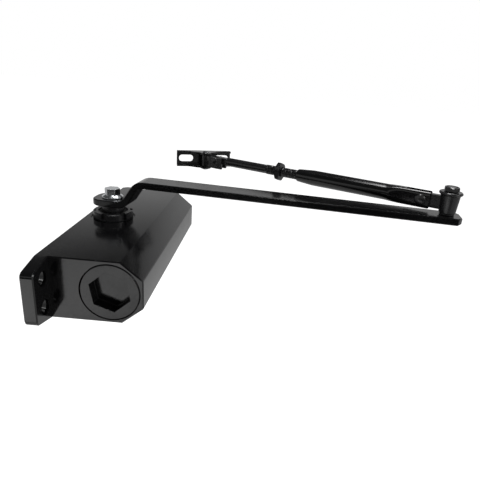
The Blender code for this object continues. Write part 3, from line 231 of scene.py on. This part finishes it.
# Carbon steel, turned and ground bright: ring marks 0.25 mm apart.
ground_steel = surface("bright_ground_steel", "#a2a4a6", "#c6c8ca", (0.18, 0.34), 1.0,
                       8 * MM, 0.25 * MM, 0.003 * MM, (1, 1, 3))
refine("piston", cast_iron, PISTON_EDGE)
for node, finish, slot in (("piston_seal_near", nitrile, "rubber"),
                           ("piston_seal_far", nitrile, "rubber"),
                           ("check_ball", ground_steel, "bright_steel"),
                           ("spring_seat", ground_steel, "bright_steel")):
    refine(node, finish)

# The spring's near end bears on the piston and its far end on the seat; here it is only given a
# mesh of its own.
spring = refine("spring", spring_wire)
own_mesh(spring)

# ---------------------------------------------------------------- regulating screws
# Two slotted needle screws in the far end meter the oil. Each is turned from bright steel
# and runs in a tapped hole beside the cylinder.

SCREW_EDGE = 0.10 * MM
for screw in ("closing_speed_screw", "latching_speed_screw"):
    refine(screw, ground_steel, SCREW_EDGE)

# ---------------------------------------------------------------- bearing nut
# A notched steel nut closes the pinion's well and holds the upper bearing and the lip seal.
# The lower bearing is pressed in, under a nylon cap.

NUT_EDGE = 0.18 * MM
CAP_EDGE = 0.20 * MM
# Steel, turned and blackened by a zinc and black passivate: satin, with faint turning rings.
black_zinc = surface("black_passivated_steel", "#101011", "#1d1d1f", (0.20, 0.34), 0.0,
                     5 * MM, 0.5 * MM, 0.006 * MM)
# Sintered bronze: warm, finely porous.
bronze = surface("sintered_bronze", "#8a6334", "#a97f48", (0.36, 0.55), 1.0,
                 4 * MM, 0.3 * MM, 0.012 * MM)
# Nylon, moulded: satin black.
nylon = surface("moulded_black_nylon", "#131314", "#1e1e1f", (0.40, 0.55), 0.0,
                6 * MM, 0.8 * MM, 0.008 * MM)
refine("bearing_nut", black_zinc, NUT_EDGE)
refine("upper_bearing", bronze)
refine("lower_bearing", bronze)
refine("pinion_seal", nitrile)
refine("dust_cap", nylon, CAP_EDGE)

# ---------------------------------------------------------------- pinion
# One steel shaft with eleven teeth, two ground journals and a square that drives the arm. It is
# hardened and blackened in hot oxide, so its neck is as dark as the nut round it.

PINION_EDGE = 0.10 * MM
# Hot black oxide over ground steel: dark, with a slight shine and turning marks 0.4 mm apart.
black_oxide = surface("black_oxide_ground_steel", "#141415", "#232325", (0.22, 0.34), 0.0,
                      6 * MM, 0.4 * MM, 0.003 * MM, (1, 1, 3))
refine("pinion", black_oxide, PINION_EDGE)

# ---------------------------------------------------------------- main arm
# A flat steel bar, pressed with a step so that it clears the body, pierced with a square
# at the eye, and powder coated. Its long edges are rolled by the blanking press.

ARM_EDGE = 0.20 * MM
# Powder coat over pressed bar: gloss black with a 1.5 mm orange peel.
arm_coat = surface("black_powder_coated_bar", "#060607", "#0d0d0e", (0.12, 0.20), 0.0,
                   30 * MM, 1.5 * MM, 0.006 * MM)
refine("main_arm", arm_coat, ARM_EDGE)

# ---------------------------------------------------------------- arm bolt
# A flanged hexagon bolt, cold forged and zinc plated bright, clamps the arm on the pinion.

BOLT_EDGE = 0.15 * MM
# Bright zinc on steel: pale and slightly blue, with soft forging marks.
bright_zinc = surface("bright_zinc_plate", "#c4c7cb", "#e6e8ea", (0.12, 0.26), 1.0,
                      2.5 * MM, 0.4 * MM, 0.008 * MM)
refine("arm_bolt", bright_zinc, BOLT_EDGE)

# ---------------------------------------------------------------- elbow
# A stud whose head lies flush under the arm carries a spacer, the elbow's tapered sleeve, a
# disc and a nut, all turned steel with a black passivate. The sleeve's tongue takes the
# forearm's rivet.

ELBOW_EDGES = {"elbow_stud": 0.15 * MM, "elbow_spacer": 0.10 * MM, "elbow_disc": 0.15 * MM,
               "elbow_nut": 0.12 * MM, "elbow_knuckle": 0.18 * MM, "elbow_rivet": 0.0}
for node, edge in ELBOW_EDGES.items():
    refine(node, black_zinc, edge)

# ---------------------------------------------------------------- forearm tube
# A steel tube, flattened and slotted into a clevis at the elbow and swaged down at the rod's
# end, then powder coated.

TUBE_EDGE = 0.15 * MM
# Powder coat over drawn tube: a little less glossy than the body's.
tube_coat = surface("black_powder_coated_tube", "#070708", "#0f0f10", (0.14, 0.23), 0.0,
                    22 * MM, 1.4 * MM, 0.006 * MM)
refine("forearm_tube", tube_coat, TUBE_EDGE)

# ---------------------------------------------------------------- adjusting rod
# A steel rod with a rolled thread that screws into the tube and sets the arm's length, a
# plain neck and a flattened end. The thread is a real helix wound round a thinner core.

THREAD_PITCH = 1.25 * MM
THREAD_CREST = 3.9 * MM
THREAD_ROOT = 3.2 * MM
THREAD_STEPS = 22           # straight lengths in one turn of the helix
RIDGE_CORNERS = 4           # of the swept section
THREAD_SINK = 0.05 * MM     # the ridge is set this far in, so it bites into the core
CREST_BAND = 0.1 * MM       # corners this close to the crest belong to the thread
LOCK_NUT_EDGE = 0.15 * MM
# The direction along the forearm, and the point on it where the elbow's rivet stands.
ROD_WAY = Vector(joint_named("rod_length")["axis"]).normalized()
ROD_START = Vector(joint_named("forearm_tilt")["pos_m"])


def thread_tree():
    """A V thread: a square on its corner swept along a helix, with its sizes as inputs."""
    tree = bpy.data.node_groups.new("rolled_thread", "GeometryNodeTree")
    face = tree.interface
    face.new_socket("Geometry", in_out="OUTPUT", socket_type="NodeSocketGeometry")
    for name, kind in (("Turns", "NodeSocketFloat"), ("Radius", "NodeSocketFloat"),
                       ("Length", "NodeSocketFloat"), ("Depth", "NodeSocketFloat"),
                       ("Steps", "NodeSocketInt"), ("Finish", "NodeSocketMaterial")):
        face.new_socket(name, in_out="INPUT", socket_type=kind)
    given = add_node(tree, "NodeGroupInput").outputs
    helix = add_node(tree, "GeometryNodeCurveSpiral", {},
                     {"Resolution": given["Steps"], "Rotations": given["Turns"],
                      "Start Radius": given["Radius"], "End Radius": given["Radius"],
                      "Height": given["Length"]})
    ridge = add_node(tree, "GeometryNodeCurvePrimitiveCircle", {"Resolution": RIDGE_CORNERS},
                     {"Radius": given["Depth"]})
    swept = add_node(tree, "GeometryNodeCurveToMesh", {"Fill Caps": True},
                     {"Curve": helix.outputs["Curve"], "Profile Curve": ridge.outputs["Curve"]})
    whole = add_node(tree, "GeometryNodeRealizeInstances", {}, {"Geometry": swept.outputs["Mesh"]})
    painted = add_node(tree, "GeometryNodeSetMaterial", {},
                       {"Geometry": whole.outputs["Geometry"], "Material": given["Finish"]})
    add_node(tree, "NodeGroupOutput", {}, {"Geometry": painted.outputs["Geometry"]})
    return tree


def grown(name, tree, values):
    """The plain mesh that a tree makes with those named inputs."""
    holder = bpy.data.objects.new(name + "_holder", bpy.data.meshes.new(name))
    bpy.context.scene.collection.objects.link(holder)
    modifier = holder.modifiers.new(name, "NODES")
    modifier.node_group = tree
    sockets = {item.name: item.identifier for item in tree.interface.items_tree
               if item.in_out == "INPUT"}
    for key, value in values.items():
        modifier[sockets[key]] = value
    ready = holder.evaluated_get(bpy.context.evaluated_depsgraph_get())
    data = bpy.data.meshes.new_from_object(ready)
    bpy.data.objects.remove(holder)
    mesh = bmesh.new()
    mesh.from_mesh(data)
    return mesh


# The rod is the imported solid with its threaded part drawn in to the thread's root.
rod = merged("adjusting_rod")
reach = []
for corner in rod.verts:
    along = (corner.co - ROD_START).dot(ROD_WAY)
    middle = ROD_START + ROD_WAY * along
    out = corner.co - middle
    if abs(out.length - THREAD_CREST) < CREST_BAND:
        reach.append(along)
        corner.co = middle + out.normalized() * THREAD_ROOT
finished("adjusting_rod_finished", rod, black_zinc, "rod", ("adjusting_rod",))

thread_low = min(reach)
thread_length = max(reach) - thread_low
wound = grown("rod_thread", thread_tree(), {
    "Turns": thread_length / THREAD_PITCH,
    "Radius": (THREAD_ROOT + THREAD_CREST) / 2 - THREAD_SINK,
    "Length": thread_length, "Depth": (THREAD_CREST - THREAD_ROOT) / 2,
    "Steps": THREAD_STEPS, "Finish": black_zinc})
stand = ROD_WAY.to_track_quat("Z", "Y").to_matrix().to_4x4()
wound.transform(Matrix.Translation(ROD_START + ROD_WAY * thread_low) @ stand)
bmesh.ops.recalc_face_normals(wound, faces=wound.faces)
finished("rod_thread", wound, black_zinc, "rod")

# The lock nut is plated steel, run up the thread against the tube.
refine("lock_nut", black_zinc, LOCK_NUT_EDGE)

# ---------------------------------------------------------------- swivel and bracket
# A small forged fork joins the rod to the bracket's pin. The bracket is pressed from 1.6 mm
# sheet into a shallow channel with two slots for its screws; the pin is bright steel.

SWIVEL_EDGE = 0.15 * MM
BRACKET_EDGE = 0.15 * MM
refine("swivel_knuckle", black_zinc, SWIVEL_EDGE)
refine("swivel_rivet", black_zinc)
# Powder coat over pressed sheet: a little duller than the body's.
bracket_coat = surface("black_powder_coated_sheet", "#070708", "#101011", (0.16, 0.26), 0.0,
                       12 * MM, 1.2 * MM, 0.006 * MM)
refine("bracket", bracket_coat, BRACKET_EDGE)
refine("bracket_pin", ground_steel)

# ---------------------------------------------------------------- studio
# A pale floor and a white surround. The surround is bright only near the horizon, as a studio
# sweep is, so gloss black stays black where it faces upwards and pales at a shallow angle.

FLOOR_SIZE = 24.0
FLOOR_DROP = 0.6            # below the lowest point, as the closer hangs on a door
FLOOR_GLOW = 0.30           # light the floor sends up beside what falls on it
SWEEP_LIGHT = 0.66          # of the surround, near the horizon
CEILING_LIGHT = 0.07        # of the surround, overhead
SWEEP_TOP = (0.245, 0.39)   # sine of the heights between which the sweep fades out


def add_softbox(name, place, target, size, power):
    lamp = bpy.data.lights.new(name, "AREA")
    lamp.shape = "RECTANGLE"
    lamp.size, lamp.size_y = size
    lamp.energy = power
    box = bpy.data.objects.new(name, lamp)
    bpy.context.scene.collection.objects.link(box)
    box.location = place
    box.rotation_euler = (Vector(target) - Vector(place)).to_track_quat("-Z", "Y").to_euler()
    box.visible_camera = False


floor_mesh = bmesh.new()
bmesh.ops.create_grid(floor_mesh, x_segments=1, y_segments=1, size=FLOOR_SIZE / 2)
floor_data = bpy.data.meshes.new("floor")
floor_mesh.to_mesh(floor_data)
floor_mesh.free()
floor = bpy.data.objects.new("floor", floor_data)
bpy.context.scene.collection.objects.link(floor)
floor.location = (0, 0, cad_box[0].z - FLOOR_DROP)
paper = bpy.data.materials.new("white_paper_sweep")
paper.use_nodes = True
paper_shader = paper.node_tree.nodes["Principled BSDF"]
paper_shader.inputs["Base Color"].default_value = linear("#fbfbfb")
paper_shader.inputs["Roughness"].default_value = 0.9
paper_shader.inputs["Emission Color"].default_value = linear("#ffffff")
seen = add_node(paper.node_tree, "ShaderNodeLightPath").outputs["Is Camera Ray"]
glow = add_node(paper.node_tree, "ShaderNodeMath",
                {"operation": "MAXIMUM", 1: FLOOR_GLOW}, {0: seen})
paper.node_tree.links.new(glow.outputs["Value"], paper_shader.inputs["Emission Strength"])
floor_data.materials.append(paper)

world = bpy.data.worlds.new("white_studio")
bpy.context.scene.world = world
world.use_nodes = True
sky = world.node_tree
sky.nodes["Background"].inputs["Color"].default_value = linear("#ffffff")
way = add_node(sky, "ShaderNodeTexCoord").outputs["Generated"]
height = add_node(sky, "ShaderNodeSeparateXYZ", {}, {"Vector": way}).outputs["Z"]
fade = add_node(sky, "ShaderNodeMapRange",
                {1: SWEEP_TOP[0], 2: SWEEP_TOP[1], 3: SWEEP_LIGHT, 4: CEILING_LIGHT}, {0: height})
direct = add_node(sky, "ShaderNodeLightPath").outputs["Is Camera Ray"]
level = add_node(sky, "ShaderNodeMath", {"operation": "MAXIMUM"},
                 {0: fade.outputs["Result"], 1: direct})
sky.links.new(level.outputs["Value"], sky.nodes["Background"].inputs["Strength"])
add_softbox("overhead_softbox", place=(0.15, -0.25, 0.95), target=(0, -0.12, 0),
            size=(0.25, 0.9), power=9.0)
add_softbox("side_softbox", place=(-0.35, -0.75, 0.45), target=(0, -0.1, 0.03),
            size=(0.25, 0.35), power=1.6)
add_softbox("end_softbox", place=(-1.0, 0.38, -0.47), target=(-0.1, -0.03, 0),
            size=(0.8, 0.26), power=0.75)

# A black flag beyond the near end keeps the sides of the arm dark.
FLAG_ACROSS = (-0.60, 0.60)
FLAG_UP = (-0.33, 0.12)
FLAG_PLACE = -0.98
flag_mesh = bmesh.new()
flag_corners = ((FLAG_ACROSS[0], FLAG_UP[0]), (FLAG_ACROSS[1], FLAG_UP[0]),
                (FLAG_ACROSS[1], FLAG_UP[1]), (FLAG_ACROSS[0], FLAG_UP[1]))
flag_mesh.faces.new([flag_mesh.verts.new((FLAG_PLACE, across, height_at))
                     for across, height_at in flag_corners])
flag_data = bpy.data.meshes.new("black_flag")
flag_mesh.to_mesh(flag_data)
flag_mesh.free()
flag = bpy.data.objects.new("black_flag", flag_data)
bpy.context.scene.collection.objects.link(flag)
flag.visible_camera = False
felt = bpy.data.materials.new("black_felt")
felt.use_nodes = True
felt_shader = felt.node_tree.nodes["Principled BSDF"]
felt_shader.inputs["Base Color"].default_value = linear("#050505")
felt_shader.inputs["Roughness"].default_value = 1.0
flag_data.materials.append(felt)
bpy.context.scene.view_settings.view_transform = "Standard"

# ---------------------------------------------------------------- camera
# Low and close beyond the near end of the body, looking along it, turned a little on its axis.

AZIMUTH, ELEVATION, ROLL = math.radians(-89.4), math.radians(20.95), math.radians(4.76)
CAMERA_PLACE = Vector((-0.3308, -0.1375, 0.1371))
IMAGE = 480                 # across the camera's view; the next two share its unit
FOCAL = 459.45
CENTRE = (260.84, 241.82)   # where the lens points, from the view's top left corner
SENSOR = 36                 # millimetres

back = Vector((math.sin(AZIMUTH) * math.cos(ELEVATION), -math.cos(AZIMUTH) * math.cos(ELEVATION),
               math.sin(ELEVATION)))
right = Vector((math.cos(AZIMUTH), math.sin(AZIMUTH), 0))
up = back.cross(right)
turned_right = math.cos(ROLL) * right + math.sin(ROLL) * up
turned_up = -math.sin(ROLL) * right + math.cos(ROLL) * up
lens = bpy.data.cameras.new("camera")
lens.sensor_width = SENSOR
lens.lens = FOCAL / IMAGE * SENSOR
lens.shift_x = -(CENTRE[0] - IMAGE / 2) / IMAGE
lens.shift_y = (CENTRE[1] - IMAGE / 2) / IMAGE
camera = bpy.data.objects.new("camera", lens)
bpy.context.scene.collection.objects.link(camera)
aim = Matrix((turned_right, turned_up, back)).transposed().to_4x4()
aim.translation = CAMERA_PLACE
camera.matrix_world = aim
bpy.context.scene.camera = camera
